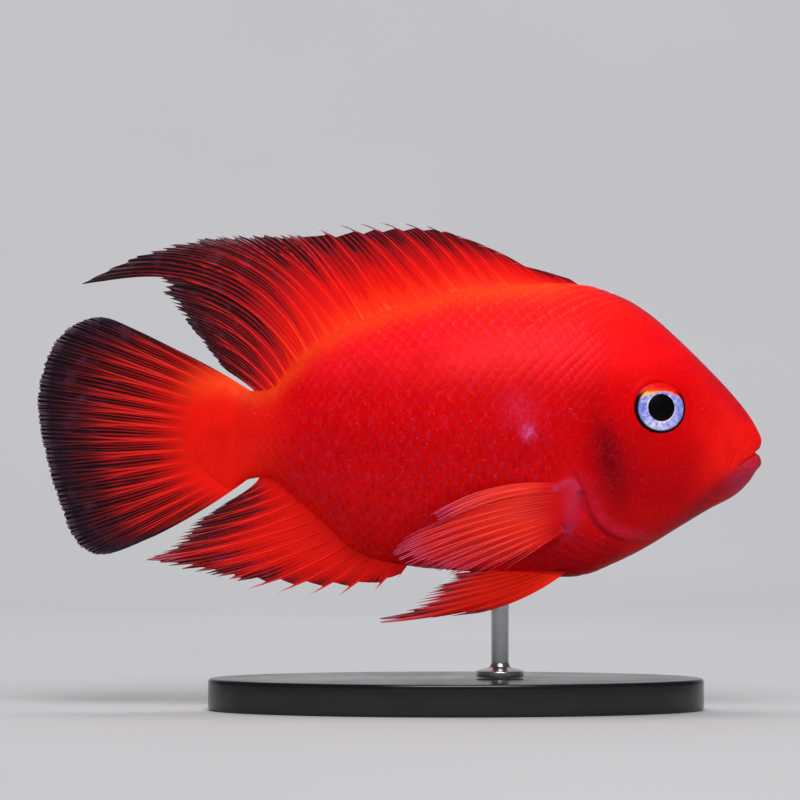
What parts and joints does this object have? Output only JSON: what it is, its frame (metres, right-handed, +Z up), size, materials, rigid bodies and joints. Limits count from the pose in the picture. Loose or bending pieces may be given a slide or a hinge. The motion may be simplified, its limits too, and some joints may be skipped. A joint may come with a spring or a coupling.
{
  "type": "blood parrot cichlid model",
  "caption": "Life-size still model of a red blood parrot cichlid with swept-back fins, held over an oval display base by a short rod under its belly.",
  "frame": {"origin": "centre of the underside of the part's overall box, on the surface the stand rests on", "axes": "+X towards the snout, the fish's right side faces -Y, +Z up"},
  "size_m": [0.1814, 0.068, 0.1217],
  "materials": {
    "skin": "satin",
    "cheek": "satin",
    "fin_red": "satin",
    "fin_dark": "satin",
    "eye": "gloss",
    "stand_plastic": "satin",
    "stand_steel": "satin"
  },
  "bodies": {
    "root": {"head": "skin", "gill_cover_left": "cheek", "gill_cover_right": "cheek", "trunk": "skin", "tail_stalk": "skin", "eye_left": "eye", "eye_right": "eye", "dorsal_fin_spiny": "fin_red", "dorsal_fin_soft": "fin_dark", "anal_fin": "fin_red", "tail_fin": "fin_dark", "pectoral_fin_left": "fin_red", "pectoral_fin_right": "fin_red", "pelvic_fin_left": "fin_red", "pelvic_fin_right": "fin_red", "stand_base": "stand_plastic", "stand_rod": "stand_steel"}
  },
  "joints": []
}
